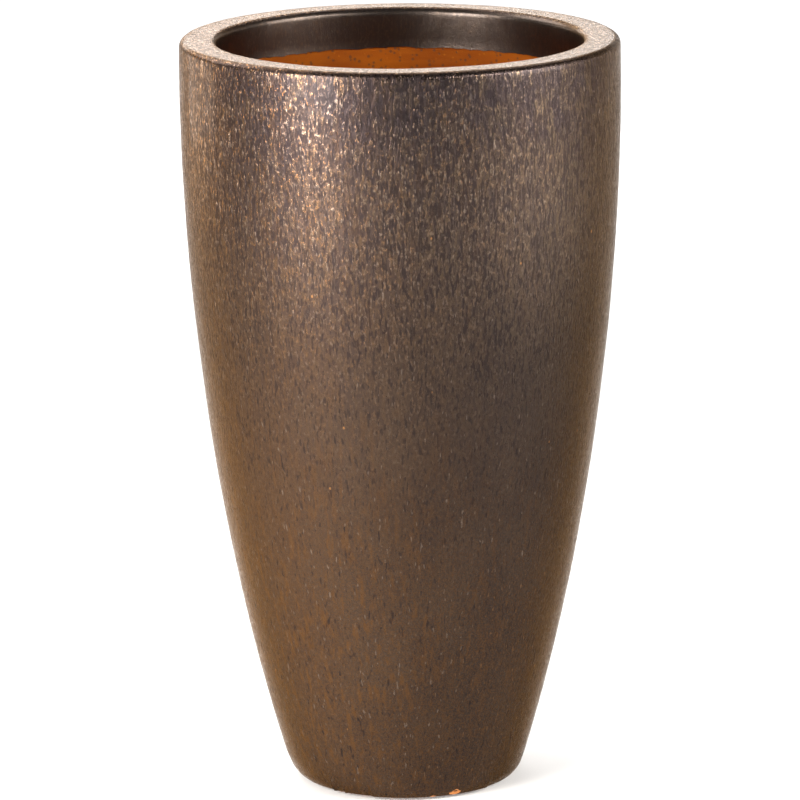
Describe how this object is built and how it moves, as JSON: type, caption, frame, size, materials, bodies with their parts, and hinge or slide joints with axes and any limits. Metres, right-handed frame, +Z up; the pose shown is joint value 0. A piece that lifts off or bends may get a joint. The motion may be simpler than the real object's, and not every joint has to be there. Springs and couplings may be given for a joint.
{
  "type": "tall planter",
  "caption": "Tall round terracotta planter, narrow at the foot and full at the shoulder, with a bronze glaze outside and over a flat rim, bare clay inside and a rubber drain stopper.",
  "frame": {"origin": "centre of the foot, on the ground that the pot stands on", "axes": "+Z up along the pot's axis, towards the mouth; the pot is round, so X and Y are equal"},
  "size_m": [0.4068, 0.4068, 0.7],
  "materials": {
    "fired_clay": "bare low-fired clay, matt, slightly speckled",
    "bronze_glaze": "metallic bronze glaze, satin to glossy, with fine dark vertical mottling",
    "stopper_rubber": "matt moulded rubber"
  },
  "bodies": {
    "pot": {"clay_floor": "fired_clay", "clay_wall": "fired_clay", "glaze_coat": "bronze_glaze"},
    "stopper": {"drain_stopper": "stopper_rubber"}
  },
  "joints": [
    {"name": "stopper_lift", "type": "slide", "parent": "pot", "child": "stopper", "axis": [0, 0, 1], "range_m": [0, 0.71]}
  ]
}
